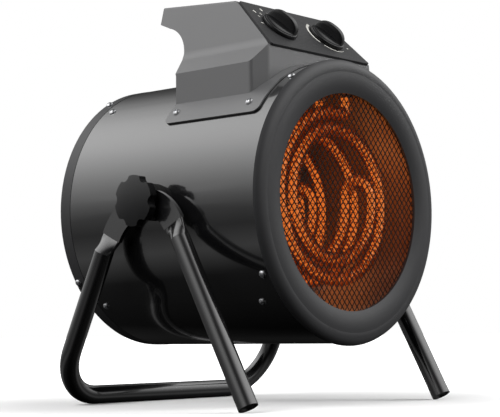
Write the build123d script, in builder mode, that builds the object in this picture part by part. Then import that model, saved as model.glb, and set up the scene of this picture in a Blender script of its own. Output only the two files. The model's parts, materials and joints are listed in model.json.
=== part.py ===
from build123d import *
import os
from math import atan2, cos, hypot, pi, radians, sin

os.makedirs("parts", exist_ok=True)

# A drum fan heater on a bent tube stand.  +Z is up, the hot air leaves towards -Y, the floor is z = 0
# and the origin is on the floor, in the middle of the object's length and width.

# ---------------------------------------------------------------- driving dimensions, millimetres
clearance = 0.3

# Drum
axis_height = 165.0
drum_radius = 115.0
sheet = 1.0
casing_front = -107.0
casing_rear = 102.7
ring_rear = 116.4
ring_radius = 115.2

# Front bezel and grilles
bezel_radius = 117.0
bezel_front = -113.0
opening_radius = 89.0
bezel_inner_rear = -108.0
grille_wire = 1.6
grille_pitch = 14.0
lattice_lean = 62.0

# Air duct, motor and fan
duct_radius = 93.0
duct_front = -106.0
duct_rear = 62.0
motor_radius = 37.0
motor_front = 34.0
motor_rear = 84.0
bracket_y = 85.0
fan_radius = 86.0
fan_y = 14.0
shaft_radius = 3.0

# Heating elements, finned sheathed tubes seen here without their fins
element_radius = 3.6
element_layers = [(-94.0, -66.0), (-30.0, -6.0)]
coil_crossings = [75.0, -62.5, 61.5, -47.0]
coil_end_radius = 49.0
coil_end_angle = radians(8)
terminal_x = 15.0
terminal_bend = 5.0
terminal_top = 103.0
ferrule_radius = 6.0
ferrule_low = 89.0
ferrule_high = 100.0

# Stand
tube_radius = 8.0
tube_wall = 1.4
tube_x = 126.0
bar_y = 106.5
bar_bend = 43.0
rear_line_y = 29.9
front_line_y = -21.0
foot_y = -109.5
flat_width = 21.0
flat_thickness = 3.8
front_flat_arc = 37.0
rear_flat_arc = 47.5
flat_blend = 13.0
bore_inset = 4.0
bar_overlap = 15.0
pivot_y = 0.0

# Pivot hardware, one M8 stud on each side
stud_radius = 4.0
stud_hole = 4.2
pad_outer_x = 120.2
rear_flat_x = 120.3
front_flat_x = 124.4
washer_x = 128.5
washer_thickness = 1.6
knob_x = 130.2
knob_thickness = 12.0
knob_radius = 20.5

# Control housing
wall = 2.0
panel_bottom_y = -83.0
panel_bottom_z = 125.8
panel_top_y = -39.8
panel_top_z = 168.8
panel_bottom_half = 64.75
panel_top_half = 55.35
panel_thickness = 2.0
roof_rear_y = 50.0
roof_rear_z = 177.0
body_rear_y = 10.0
body_front_y = -81.0
body_half = 80.0
shoulder_z = 110.6
finger_arc = 30.2
finger_arc_y = 46.0
finger_arc_z = 127.0
flange_front = -93.3
flange_rear = 9.5
flange_angle = 55.0
flange_outer = 116.7
knob_spacing = 31.0
knob_height_on_panel = 29.0
dial_radius = 16.5
dial_height = 13.5

# Screws
screw_head = 3.3
screw_head_height = 2.1
screw_shank = 1.7
ring_screw_y = 111.3
ring_screw_turn = 32.0
bracket_screw_y = 93.7
bezel_screw_y = -99.5
duct_screw_y = -85.0
flange_screw_angle = 49.2
flange_screw_front = -79.0
flange_screw_rear = 1.2

axis_point = (0, 0, axis_height)
drum_plane = Plane.XY.offset(axis_height)
drum_axis = Axis(axis_point, (0, 1, 0))
pivot_axis = Axis((0, pivot_y, axis_height), (1, 0, 0))


def finish(builder, label):
    """Name a finished sub-part and write it to its own file."""
    builder.part.label = label
    export_step(builder.part, f"parts/{label}.step")


def radial_plane(angle, y, radius):
    """Plane that lies on the drum's skin, facing outwards; angle runs from +Z towards -X."""
    turn = radians(angle)
    outward = (-sin(turn), 0, cos(turn))
    origin = (-radius * sin(turn), y, axis_height + radius * cos(turn))
    return Plane(origin=origin, x_dir=(0, 1, 0), z_dir=outward)


def screw_places(angles, ys, radius):
    """One location on the drum's skin for every pair of angle and length position."""
    return [radial_plane(angle, y, radius).location for angle, y in zip(angles, ys)]


ring_angles = [ring_screw_turn + 90 * k for k in range(4)]
bracket_angles = [-135, -40, 40, 135]
duct_angles = [-135, 135]
ring_places = screw_places(ring_angles, [ring_screw_y] * 4, ring_radius)
bezel_places = screw_places(ring_angles, [bezel_screw_y] * 4, drum_radius)
bracket_places = screw_places(bracket_angles, [bracket_screw_y] * 4, drum_radius)
duct_places = screw_places(duct_angles, [duct_screw_y] * 2, drum_radius)
flange_angles = [-flange_screw_angle, -flange_screw_angle, flange_screw_angle, flange_screw_angle]
flange_ys = [flange_screw_front, flange_screw_rear] * 2
flange_places = screw_places(flange_angles, flange_ys, flange_outer)
hole_depth = 24.0


def drill(places):
    """Clearance holes for radial screws, cut from the part being built."""
    with Locations(*places):
        Cylinder(radius=screw_shank + 0.1, height=hole_depth, mode=Mode.SUBTRACT)


def turned(points):
    """Ring turned about the drum's axis from its (radius, y) corners."""
    with BuildPart() as ring:
        with BuildSketch(drum_plane):
            with BuildLine():
                Polyline(*points, close=True)
            make_face()
        revolve(axis=drum_axis)
    return ring.part


def pan_screw(length):
    """Pan head screw with a crossed recess, its seat at z = 0 and its shank below."""
    with BuildPart() as screw:
        with BuildSketch(Plane.XZ):
            with BuildLine():
                Polyline((0, screw_head_height), (0, -length), (screw_shank, -length),
                         (screw_shank, 0), (screw_head, 0), (screw_head, 0.6))
                ThreePointArc((screw_head, 0.6), (0.72 * screw_head, 1.6), (0, screw_head_height))
            make_face()
        revolve(axis=Axis.Z)
        with Locations((0, 0, screw_head_height - 0.3)):
            Box(3.6, 0.8, 1.6, mode=Mode.SUBTRACT)
            Box(0.8, 3.6, 1.6, mode=Mode.SUBTRACT)
    return screw.part


def screw_group(label, places, length):
    """A set of equal screws as separate solids in one node."""
    screw = pan_screw(length)
    with BuildPart() as group:
        with Locations(*places):
            add(screw)
    finish(group, label)


# ---------------------------------------------------------------- drum: casing, rear ring, bezel
with BuildPart() as drum_casing:
    add(turned([(drum_radius - sheet, casing_front), (drum_radius, casing_front),
                (drum_radius, casing_rear), (drum_radius - sheet, casing_rear)]))
    drill(bezel_places + bracket_places + duct_places + flange_places)
    with Locations(Location((0, pivot_y, axis_height), (0, 90, 0))):
        Cylinder(radius=stud_hole, height=4 * drum_radius, mode=Mode.SUBTRACT)
finish(drum_casing, "drum_casing")

spigot_radius = drum_radius - sheet - 0.2
spigot_front = 98.5
ring_wall = 1.2
return_radius = 103.0
with BuildPart() as rear_ring:
    add(turned([(spigot_radius - ring_wall, spigot_front), (spigot_radius, spigot_front),
                (spigot_radius, casing_rear + 0.4), (ring_radius, casing_rear + 0.4),
                (ring_radius, ring_rear - 1.5), (ring_radius - 1.5, ring_rear),
                (return_radius, ring_rear), (return_radius, ring_rear - ring_wall),
                (ring_radius - 2.0, ring_rear - ring_wall), (ring_radius - ring_wall, ring_rear - 2.0),
                (ring_radius - ring_wall, casing_rear + 0.4 + ring_wall),
                (spigot_radius - ring_wall, casing_rear + 0.4 + ring_wall)]))
    drill(ring_places)
finish(rear_ring, "rear_ring")

bezel_skirt = drum_radius - sheet - 0.2
skirt_rear = -94.0
with BuildPart() as front_bezel:
    with BuildSketch(drum_plane):
        with BuildLine():
            Polyline((bezel_skirt - 1.4, skirt_rear), (bezel_skirt, skirt_rear),
                     (bezel_skirt, casing_front - 0.1), (bezel_radius, casing_front - 0.1))
            ThreePointArc((bezel_radius, casing_front - 0.1), (113.9, -110.9), (106.5, bezel_front + 0.2))
            ThreePointArc((106.5, bezel_front + 0.2), (97.5, bezel_front), (opening_radius, bezel_front + 2.6))
            Polyline((opening_radius, bezel_front + 2.6), (opening_radius, bezel_inner_rear),
                     (opening_radius + 1.4, bezel_inner_rear), (opening_radius + 1.6, bezel_front + 3.8))
            ThreePointArc((opening_radius + 1.6, bezel_front + 3.8), (97.5, bezel_front + 1.5),
                          (106.2, bezel_front + 1.7))
            ThreePointArc((106.2, bezel_front + 1.7), (110.5, -109.9),
                          (bezel_skirt - 1.4, casing_front - 1.3))
            Line((bezel_skirt - 1.4, casing_front - 1.3), (bezel_skirt - 1.4, skirt_rear))
        make_face()
    revolve(axis=drum_axis)
    drill(bezel_places)
finish(front_bezel, "front_bezel")


def grille(label, radius, y, skirt_to, places):
    """Diamond lattice disc with a rolled skirt: two crossing families of flat bars in a rim."""
    inner = radius - 4.0
    thickness = 1.2
    count = int(1.1 * radius / grille_pitch) + 1
    with BuildPart() as guard:
        with BuildSketch(Plane(origin=(0, y, axis_height), x_dir=(1, 0, 0), z_dir=(0, -1, 0))):
            Circle(radius)
            Circle(inner, mode=Mode.SUBTRACT)
            with BuildSketch(mode=Mode.PRIVATE) as lattice:
                for lean in (-lattice_lean, lattice_lean):
                    for k in range(-count, count + 1):
                        with Locations(Location((k * grille_pitch, 0), lean)):
                            Rectangle(2.6 * radius, grille_wire)
                Circle(inner + 0.5, mode=Mode.INTERSECT)
            add(lattice.sketch)
        extrude(amount=-thickness)
        low, high = sorted((y, skirt_to))
        with BuildSketch(drum_plane):
            with Locations((radius - 0.6, (low + high) / 2)):
                Rectangle(1.2, high - low)
        revolve(axis=drum_axis)
        if places:
            drill(places)
    finish(guard, label)


grille("front_grille", bezel_skirt - 1.8, bezel_inner_rear + 0.1, skirt_rear - 1.0, bezel_places)
grille("rear_grille", ring_radius - ring_wall - 1.0, ring_rear - ring_wall - 1.3, 106.0, ring_places)

screw_group("ring_screws", ring_places, 5.5)
screw_group("bezel_screws", bezel_places, 6.0)
screw_group("bracket_screws", bracket_places, 5.5)
screw_group("duct_screws", duct_places, 5.5)
screw_group("housing_screws", flange_places, 7.0)

# ---------------------------------------------------------------- air duct and its cut-out switch
duct_skin = 0.8
duct_skirt = drum_radius - sheet - 0.3
duct_flange_front = -92.8
duct_flange_rear = -73.0
terminal_spots = [(terminal_x, y) for layer in element_layers for y in layer]
with BuildPart() as air_duct:
    add(turned([(duct_radius - duct_skin, duct_front), (duct_radius, duct_front),
                (duct_radius, duct_flange_front), (duct_skirt, duct_flange_front),
                (duct_skirt, duct_flange_rear), (duct_skirt - 1.2, duct_flange_rear),
                (duct_skirt - 1.2, duct_flange_front + duct_skin),
                (duct_radius, duct_flange_front + duct_skin),
                (duct_radius, duct_rear), (duct_radius - duct_skin, duct_rear)]))
    drill(duct_places + flange_places)
    with BuildSketch(Plane.XY.offset(axis_height + ferrule_low - 3)):
        with Locations(*terminal_spots):
            Circle(ferrule_radius + 0.05)
    extrude(amount=terminal_top + 5 - ferrule_low, mode=Mode.SUBTRACT)
finish(air_duct, "air_duct")

# ---------------------------------------------------------------- motor, bracket, bearings and fan


def along_axis(y):
    """Plane square to the drum's axis at length y, facing the outlet."""
    return Plane(origin=(0, y, axis_height), x_dir=(1, 0, 0), z_dir=(0, -1, 0))


bracket_thickness = 2.0
arm_width = 18.0
bracket_reach = drum_radius - sheet - 0.2
tab_thickness = 1.6
motor_screw_circle = 26.0
with BuildPart() as motor_bracket:
    with BuildSketch(along_axis(bracket_y)):
        Circle(motor_radius + 6)
        for angle in bracket_angles:
            with Locations(Location((0, 0), 90 + angle)):
                Rectangle(bracket_reach - 0.5, arm_width, align=(Align.MIN, Align.CENTER))
        Circle(9, mode=Mode.SUBTRACT)
        with PolarLocations(motor_screw_circle, 4):
            Circle(2.1, mode=Mode.SUBTRACT)
    extrude(amount=-bracket_thickness)
    for angle in bracket_angles:
        with BuildSketch(radial_plane(angle, bracket_y + 6.5, bracket_reach)):
            Rectangle(13.0, arm_width)
        extrude(amount=-tab_thickness)
    with BuildSketch(along_axis(bracket_y - 1)):
        Circle(bracket_reach + 30)
        Circle(bracket_reach, mode=Mode.SUBTRACT)
    extrude(amount=-20, mode=Mode.SUBTRACT)
    drill(bracket_places)
finish(motor_bracket, "motor_bracket")

with BuildPart() as motor_shell:
    with BuildSketch(along_axis(motor_rear)):
        Circle(motor_radius)
    extrude(amount=motor_rear - motor_front)
    fillet(motor_shell.edges().filter_by(GeomType.CIRCLE), radius=3)
    with BuildSketch(along_axis(motor_rear - 2)):
        Circle(motor_radius - 2)
    extrude(amount=motor_rear - motor_front - 4, mode=Mode.SUBTRACT)
    with BuildSketch(along_axis(motor_rear + 1)):
        Circle(8.0)
    extrude(amount=motor_rear - motor_front + 2, mode=Mode.SUBTRACT)
    with BuildSketch(along_axis(motor_rear)):
        with PolarLocations(motor_screw_circle, 4):
            Circle(screw_shank + 0.1)
    extrude(amount=6, mode=Mode.SUBTRACT)
finish(motor_shell, "motor_shell")

with BuildPart() as motor_stator:
    with BuildSketch(along_axis(motor_rear - 14)):
        Circle(motor_radius - 2)
        Circle(19, mode=Mode.SUBTRACT)
        with PolarLocations(23, 8):
            RectangleRounded(10, 6, 2, mode=Mode.SUBTRACT)
    extrude(amount=22)
finish(motor_stator, "motor_stator")

with BuildPart() as motor_windings:
    for side in (motor_rear - 14 + 1.0, motor_rear - 36 - 6.0):
        with BuildSketch(along_axis(side + 5.0)):
            Circle(31)
            Circle(21, mode=Mode.SUBTRACT)
        extrude(amount=5.0)
finish(motor_windings, "motor_windings")

for label, y in (("bearing_front", motor_front), ("bearing_rear", motor_rear - 5)):
    with BuildPart() as bearing:
        with BuildSketch(along_axis(y + 5)):
            Circle(8.0)
            Circle(shaft_radius + 0.05, mode=Mode.SUBTRACT)
        extrude(amount=5)
    finish(bearing, label)

motor_screw = pan_screw(7.0)
with BuildPart() as motor_screws:
    for turn in range(4):
        spot = Plane(origin=(motor_screw_circle * cos(turn * pi / 2), bracket_y + bracket_thickness,
                             axis_height + motor_screw_circle * sin(turn * pi / 2)),
                     x_dir=(1, 0, 0), z_dir=(0, 1, 0))
        with Locations(spot.location):
            add(motor_screw)
finish(motor_screws, "motor_screws")

shaft_front = fan_y - 14.0
with BuildPart() as motor_rotor:
    with BuildSketch(along_axis(motor_rear + 2)):
        Circle(shaft_radius)
    extrude(amount=motor_rear + 2 - shaft_front)
    with BuildSketch(along_axis(motor_rear - 14)):
        Circle(18.2)
    extrude(amount=22)
finish(motor_rotor, "motor_rotor")

hub_radius = 20.0
blade_count = 5
blade_pitch = 28.0
with BuildPart() as fan_blade:
    with BuildSketch(along_axis(fan_y + 8)):
        Circle(hub_radius)
    extrude(amount=16)
    with BuildSketch(along_axis(fan_y + 9)):
        Circle(hub_radius - 3)
        Circle(7, mode=Mode.SUBTRACT)
    extrude(amount=14, mode=Mode.SUBTRACT)
    for k in range(blade_count):
        turn = 2 * pi * k / blade_count
        outward = (cos(turn), 0, sin(turn))
        root = Plane(origin=(0.8 * hub_radius * outward[0], fan_y, axis_height + 0.8 * hub_radius * outward[2]),
                     x_dir=(-sin(turn), 0, cos(turn)), z_dir=outward)
        tip = root.offset(fan_radius - 0.8 * hub_radius)
        with BuildSketch(root.rotated((0, 0, blade_pitch))):
            Rectangle(20, 1.6)
        with BuildSketch(tip.rotated((0, 0, blade_pitch - 8))):
            Rectangle(62, 1.2)
        loft()
    with BuildSketch(along_axis(fan_y + 40)):
        Circle(fan_radius + 40)
        Circle(fan_radius, mode=Mode.SUBTRACT)
    extrude(amount=80, mode=Mode.SUBTRACT)
    with BuildSketch(along_axis(fan_y + 20)):
        Circle(shaft_radius)
    extrude(amount=40, mode=Mode.SUBTRACT)
finish(fan_blade, "fan_blade")

with BuildPart() as fan_nut:
    with BuildSketch(along_axis(fan_y - 8)):
        RegularPolygon(radius=6, side_count=6)
        Circle(shaft_radius, mode=Mode.SUBTRACT)
    extrude(amount=5)
finish(fan_nut, "fan_nut")

# ---------------------------------------------------------------- heating elements


def coil_runs(y):
    """Lines and arcs of one flat layer of a coil, from its terminal to its inner end."""
    def at(x, z):
        return (x, y, axis_height + z)

    first = coil_crossings[0]
    lean = terminal_bend * (1 - cos(radians(45)))
    runs = [(at(terminal_x, terminal_top), at(terminal_x, first + terminal_bend)),
            (at(terminal_x, first + terminal_bend), at(terminal_x - lean, first + lean),
             at(terminal_x - terminal_bend, first)),
            (at(terminal_x - terminal_bend, first), at(0, first))]
    side = -1
    for start, end in zip(coil_crossings, coil_crossings[1:]):
        runs.append((at(0, start), at(side * abs(start - end) / 2, (start + end) / 2), at(0, end)))
        side = -side
    last = coil_crossings[-1]
    centre = last + coil_end_radius
    middle = (coil_end_angle - pi / 2) / 2
    runs.append((at(0, last),
                 at(coil_end_radius * cos(middle), centre + coil_end_radius * sin(middle)),
                 at(coil_end_radius * cos(coil_end_angle), centre + coil_end_radius * sin(coil_end_angle))))
    return runs


for label, (front_y, back_y) in zip(("heating_element_front", "heating_element_rear"), element_layers):
    reach = (back_y - front_y) / 2
    front_runs = coil_runs(front_y)
    back_runs = [run[::-1] for run in coil_runs(back_y)[::-1]]
    x, y, z = front_runs[-1][-1]
    turn_middle = (x - reach * sin(coil_end_angle), y + reach, z + reach * cos(coil_end_angle))
    with BuildPart() as heater:
        with BuildLine() as route:
            for run in front_runs + [(front_runs[-1][-1], turn_middle, back_runs[0][0])] + back_runs:
                if len(run) == 2:
                    Line(*run)
                else:
                    ThreePointArc(*run)
        with BuildSketch(Plane(origin=front_runs[0][0], z_dir=(0, 0, -1))):
            Circle(element_radius)
        sweep(path=route.line)
    finish(heater, label)

with BuildPart() as element_ferrules:
    with BuildSketch(Plane.XY.offset(axis_height + ferrule_low)):
        with Locations(*terminal_spots):
            Circle(ferrule_radius)
            Circle(element_radius + 0.05, mode=Mode.SUBTRACT)
    extrude(amount=ferrule_high - ferrule_low)
finish(element_ferrules, "element_ferrules")

cutout_angle = 45.0
with BuildPart() as thermal_cutout:
    with BuildSketch(radial_plane(cutout_angle, -55, duct_radius)):
        Circle(8)
    extrude(amount=6)
    with BuildSketch(radial_plane(cutout_angle, -55, duct_radius + 6)):
        RectangleRounded(22, 8, 2)
    extrude(amount=1.2)
    with BuildSketch(along_axis(-40)):
        Circle(duct_radius)
    extrude(amount=30, mode=Mode.SUBTRACT)
finish(thermal_cutout, "thermal_cutout")

# ---------------------------------------------------------------- stand


def leg_flat(side, arc_radius, turn, x_outer):
    """Flattened end of a leg: rounded about the pivot, then curving down into the tube's line."""
    half = flat_width / 2
    centre_z = axis_height - arc_radius

    def along(radius, angle):
        return (side * radius * sin(angle), centre_z + radius * cos(angle))

    with BuildPart() as flat:
        with BuildSketch(Plane.YZ.offset(-x_outer)):
            with BuildLine():
                ThreePointArc(along(arc_radius + half, 0), along(arc_radius + half, turn / 2),
                              along(arc_radius + half, turn))
                Line(along(arc_radius + half, turn), along(arc_radius - half, turn))
                ThreePointArc(along(arc_radius - half, turn), along(arc_radius - half, turn / 2),
                              along(arc_radius - half, 0))
                ThreePointArc((0, axis_height - half), (-side * half, axis_height), (0, axis_height + half))
            make_face()
            with Locations((pivot_y, axis_height)):
                Circle(stud_hole, mode=Mode.SUBTRACT)
        extrude(amount=flat_thickness)
    return flat.part


def flat_end(side, arc_radius, turn):
    """Where the flattened end meets the tube: its centre and the leg's downward direction."""
    y = side * arc_radius * sin(turn)
    z = axis_height - arc_radius * (1 - cos(turn))
    return y, z, (0, side * cos(turn), -sin(turn))


def tube_blend(y, z, heading, x_middle):
    """Loft from the flattened section to the round tube."""
    start = Plane(origin=(-x_middle, y, z), x_dir=(1, 0, 0), z_dir=heading)
    reach = flat_blend
    end_origin = (-tube_x, y + reach * heading[1], z + reach * heading[2])
    end = Plane(origin=end_origin, x_dir=(1, 0, 0), z_dir=heading)
    with BuildPart() as blend:
        with BuildSketch(start):
            RectangleRounded(flat_thickness, flat_width, flat_thickness / 2 - 0.05)
        with BuildSketch(end):
            Circle(tube_radius)
        loft()
    return blend.part, end


rear_lean = atan2(bar_y - rear_line_y, axis_height - tube_radius)
rear_turn = pi / 2 - rear_lean
front_lean = atan2(-foot_y + front_line_y, axis_height)
front_turn = pi / 2 - front_lean

rear_y, rear_z, rear_heading = flat_end(1, rear_flat_arc, rear_turn)
rear_blend, rear_start = tube_blend(rear_y, rear_z, rear_heading, rear_flat_x + flat_thickness / 2)
with BuildPart() as frame_half:
    top = rear_start.origin
    with BuildLine() as half_route:
        FilletPolyline((top.X, top.Y, top.Z), (-tube_x, bar_y, tube_radius),
                       (bar_overlap, bar_y, tube_radius), radius=bar_bend)
    with BuildSketch(rear_start):
        Circle(tube_radius)
    sweep(path=half_route.line)
    add(leg_flat(1, rear_flat_arc, rear_turn, rear_flat_x + flat_thickness))
    add(rear_blend)

with BuildPart() as rear_frame:
    add(frame_half.part)
    add(frame_half.part.mirror(Plane.YZ))
    bore_start = rear_start.offset(bore_inset)
    top = bore_start.origin
    with BuildLine() as bore_route:
        FilletPolyline((top.X, top.Y, top.Z), (-tube_x, bar_y, tube_radius), (tube_x, bar_y, tube_radius),
                       (-top.X, top.Y, top.Z), radius=bar_bend)
    with BuildSketch(bore_start):
        Circle(tube_radius - tube_wall)
    sweep(path=bore_route.line, mode=Mode.SUBTRACT)
finish(rear_frame, "rear_frame")

plug_depth = 16.0
front_y, front_z, front_heading = flat_end(-1, front_flat_arc, front_turn)
front_blend, front_start = tube_blend(front_y, front_z, front_heading, front_flat_x + flat_thickness / 2)
foot_drop = tube_radius * sin(front_lean)
front_length = (front_start.origin.Z - foot_drop) / cos(front_lean)
with BuildPart() as front_leg:
    add(leg_flat(-1, front_flat_arc, front_turn, front_flat_x + flat_thickness))
    add(front_blend)
    with BuildSketch(front_start):
        Circle(tube_radius)
    extrude(amount=front_length)
    with BuildSketch(front_start):
        Circle(tube_radius - tube_wall)
    extrude(amount=front_length, mode=Mode.SUBTRACT)

with BuildPart() as leg_plug:
    with BuildSketch(front_start.offset(front_length - plug_depth)):
        Circle(tube_radius - tube_wall)
    extrude(amount=plug_depth - 1.0)
    with BuildSketch(front_start.offset(front_length - plug_depth)):
        Circle(tube_radius - tube_wall - 2.0)
    extrude(amount=plug_depth - 4.0, mode=Mode.SUBTRACT)

with BuildPart() as pivot_pad:
    with BuildSketch(Plane.YZ.offset(-pad_outer_x)):
        with Locations((pivot_y, axis_height)):
            Circle(15)
            Circle(stud_hole, mode=Mode.SUBTRACT)
    extrude(amount=8)
    with BuildSketch(along_axis(pivot_y + 30)):
        Circle(drum_radius)
    extrude(amount=60, mode=Mode.SUBTRACT)

nut_height = 7.0
with BuildPart() as pivot_nut:
    with BuildSketch(Plane.YZ.offset(-drum_radius + sheet + 0.4)):
        with Locations((pivot_y, axis_height)):
            RegularPolygon(radius=9, side_count=6)
            Circle(stud_radius + 0.05, mode=Mode.SUBTRACT)
    extrude(amount=nut_height)

with BuildPart() as pivot_washer:
    with BuildSketch(Plane.YZ.offset(-washer_x - washer_thickness)):
        with Locations((pivot_y, axis_height)):
            Circle(11)
            Circle(stud_radius + 0.05, mode=Mode.SUBTRACT)
    extrude(amount=washer_thickness)

lobe_count = 6
notch_radius = 5.0
stud_inner = drum_radius - 10.0
with BuildPart() as star_knob:
    knob_face = Plane.YZ.offset(-knob_x - knob_thickness)
    with BuildSketch(knob_face) as outline:
        with Locations((pivot_y, axis_height)):
            Circle(knob_radius)
            with PolarLocations(knob_radius + 2.0, lobe_count, start_angle=5):
                Circle(notch_radius, mode=Mode.SUBTRACT)
        fillet(outline.vertices(), 1.6)
    extrude(amount=knob_thickness - 3.0)
    with BuildSketch(Plane.YZ.offset(-knob_x - 3.0)):
        with Locations((pivot_y, axis_height)):
            Circle(10)
    extrude(amount=3.0)
    with BuildSketch(Plane(origin=(-knob_x - knob_thickness, pivot_y, axis_height),
                           x_dir=(1, 0, 0), z_dir=(0, 1, 0))):
        with BuildLine():
            ThreePointArc((0, 0), (0.55, knob_radius / 2), (2.2, knob_radius))
            Polyline((2.2, knob_radius), (2.2, knob_radius + 2), (-2, knob_radius + 2), (-2, 0), (0, 0))
        make_face()
    revolve(axis=pivot_axis, mode=Mode.SUBTRACT)

with BuildPart() as stud:
    with BuildSketch(Plane.YZ.offset(-knob_x)):
        with Locations((pivot_y, axis_height)):
            Circle(stud_radius)
    extrude(amount=knob_x - stud_inner)

for name, piece in (("front_leg", front_leg), ("leg_plug", leg_plug), ("pivot_pad", pivot_pad),
                    ("pivot_nut", pivot_nut), ("pivot_washer", pivot_washer),
                    ("star_knob", star_knob), ("knob_stud", stud)):
    finish(piece, f"{name}_left")
    with BuildPart() as opposite:
        add(piece.part.mirror(Plane.YZ))
    finish(opposite, f"{name}_right")

# ---------------------------------------------------------------- control housing with its rear handle
side_slope = (panel_bottom_half - panel_top_half) / (panel_top_z - panel_bottom_z)
bend_z = 127.3
ridge_z = 182.0
ridge_half = panel_top_half - side_slope * (ridge_z - panel_top_z)
cover_low = 50.0
bend_radius = 18.0
corner_radius = 5.0


def housing_block(inset):
    """Outer form of the housing above the drum, or its cavity when inset by the wall."""
    low = cover_low - 2 * inset
    with BuildPart() as block:
        with BuildSketch(Plane.XZ.offset(-roof_rear_y - 20)) as section:
            with BuildLine():
                Polyline((-body_half, axis_height + low), (-body_half, axis_height + shoulder_z),
                         (-panel_bottom_half, axis_height + bend_z), (-ridge_half, axis_height + ridge_z),
                         (ridge_half, axis_height + ridge_z), (panel_bottom_half, axis_height + bend_z),
                         (body_half, axis_height + shoulder_z), (body_half, axis_height + low), close=True)
            make_face()
            if inset:
                offset(amount=-inset, kind=Kind.INTERSECTION)
            bends = section.vertices().filter_by_position(Axis.Y, axis_height + 123, axis_height + 131)
            fillet(bends, bend_radius - inset)
        extrude(amount=roof_rear_y - body_front_y + 40)
        lip = 1.4 * panel_thickness
        with BuildSketch(Plane.YZ.offset(-body_half - 10)) as profile:
            with BuildLine():
                Polyline((body_rear_y, axis_height + low), (body_front_y, axis_height + low),
                         (body_front_y, axis_height + panel_bottom_z - lip + 2),
                         (panel_top_y, axis_height + panel_top_z - lip),
                         (panel_top_y + 2 * lip, axis_height + panel_top_z + lip / 3),
                         (roof_rear_y, axis_height + roof_rear_z),
                         (roof_rear_y + 0.7, axis_height + 161.5))
                finger_end = (finger_arc_y - 8.0, axis_height + finger_arc_z + 29.12)
                Line((roof_rear_y + 0.7, axis_height + 161.5), finger_end)
                ThreePointArc(finger_end, (finger_arc_y - finger_arc * cos(radians(38)),
                                           axis_height + finger_arc_z + finger_arc * sin(radians(38))),
                              (finger_arc_y - finger_arc, axis_height + finger_arc_z))
                Polyline((finger_arc_y - finger_arc, axis_height + finger_arc_z),
                         (body_rear_y, axis_height + shoulder_z - 2), (body_rear_y, axis_height + low))
            make_face()
            if inset:
                offset(amount=-inset, kind=Kind.INTERSECTION)
        extrude(amount=2 * body_half + 20, mode=Mode.INTERSECT)
        with BuildSketch(Plane.XY.offset(axis_height)) as plan:
            with BuildLine():
                Polyline((-body_half, roof_rear_y + 10), (-body_half, -72.5), (-66.0, body_front_y - 0.1),
                         (-66.0, panel_bottom_y - 5), (66.0, panel_bottom_y - 5), (66.0, body_front_y - 0.1),
                         (body_half, -72.5), (body_half, roof_rear_y + 10), close=True)
            make_face()
            if inset:
                offset(amount=-inset, kind=Kind.INTERSECTION)
        extrude(amount=ridge_z + 20, both=True, mode=Mode.INTERSECT)
        corners = block.edges().filter_by(Axis.Z).filter_by_position(Axis.Y, -90, -60)
        fillet(corners, corner_radius - inset)
    return block.part


panel_plane = Plane(origin=(0, panel_bottom_y, axis_height + panel_bottom_z), x_dir=(1, 0, 0),
                    z_dir=(0, -(panel_top_z - panel_bottom_z), panel_top_y - panel_bottom_y))
panel_length = hypot(panel_top_y - panel_bottom_y, panel_top_z - panel_bottom_z)
dials = [(-knob_spacing, knob_height_on_panel), (knob_spacing, knob_height_on_panel)]
switch_half = 15.0

bushing_spot = (66.0, 102.0)
bushing_neck = 4.8
bushing_bore = 3.6
with BuildPart() as control_housing:
    add(housing_block(0))
    roof_edges = control_housing.edges().filter_by_position(
        Axis.Z, axis_height + 165, axis_height + 180).filter_by(lambda edge: edge.length > 60)
    fillet([edge for edge in roof_edges if abs(edge.center().X) > 40], 2.0)
    add(housing_block(wall), mode=Mode.SUBTRACT)
    with BuildSketch(panel_plane.offset(-panel_thickness)):
        with Locations((0, panel_length / 2)):
            Rectangle(2 * knob_spacing + 2 * switch_half + 6, 40)
    extrude(amount=12, both=True, mode=Mode.SUBTRACT)
    with BuildSketch(panel_plane.offset(-panel_thickness)):
        with Locations((0, panel_length / 2)):
            Rectangle(2 * body_half, 2 * panel_length)
    extrude(amount=20, mode=Mode.SUBTRACT)
    with BuildSketch(along_axis(flange_rear)):
        Circle(flange_outer)
        with BuildLine(mode=Mode.PRIVATE) as wedge:
            far = 2 * flange_outer
            Polyline((0, 0), (-far * sin(radians(flange_angle)), far * cos(radians(flange_angle))),
                     (0, 2 * far), (far * sin(radians(flange_angle)), far * cos(radians(flange_angle))),
                     close=True)
        add(make_face(wedge.edges(), mode=Mode.PRIVATE), mode=Mode.INTERSECT)
    extrude(amount=flange_rear - flange_front)
    with BuildSketch(along_axis(roof_rear_y + 20)):
        Circle(drum_radius + clearance)
    extrude(amount=200, mode=Mode.SUBTRACT)
    corners = control_housing.edges().filter_by(
        lambda edge: edge.length < 2 and abs(edge.center().X) > 90 and edge.center().Z < axis_height + 70)
    fillet(corners, 6.0)
    drill(flange_places)
    with BuildSketch(along_axis(body_rear_y + 5)):
        with Locations(bushing_spot):
            Circle(bushing_neck)
    extrude(amount=12, mode=Mode.SUBTRACT)
    add(housing_block(wall), mode=Mode.SUBTRACT)
finish(control_housing, "control_housing")

with BuildPart() as control_panel:
    with BuildSketch(panel_plane.offset(-panel_thickness)):
        with BuildLine():
            Polyline((-panel_bottom_half, 0), (panel_bottom_half, 0), (panel_top_half, panel_length),
                     (-panel_top_half, panel_length), close=True)
        make_face()
        with Locations(*dials):
            Circle(4.2, mode=Mode.SUBTRACT)
    extrude(amount=panel_thickness)
    corners = control_panel.edges().filter_by(lambda edge: abs(edge.length - panel_thickness) < 0.01)
    fillet(corners, 2.0)
finish(control_panel, "control_panel")

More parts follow.
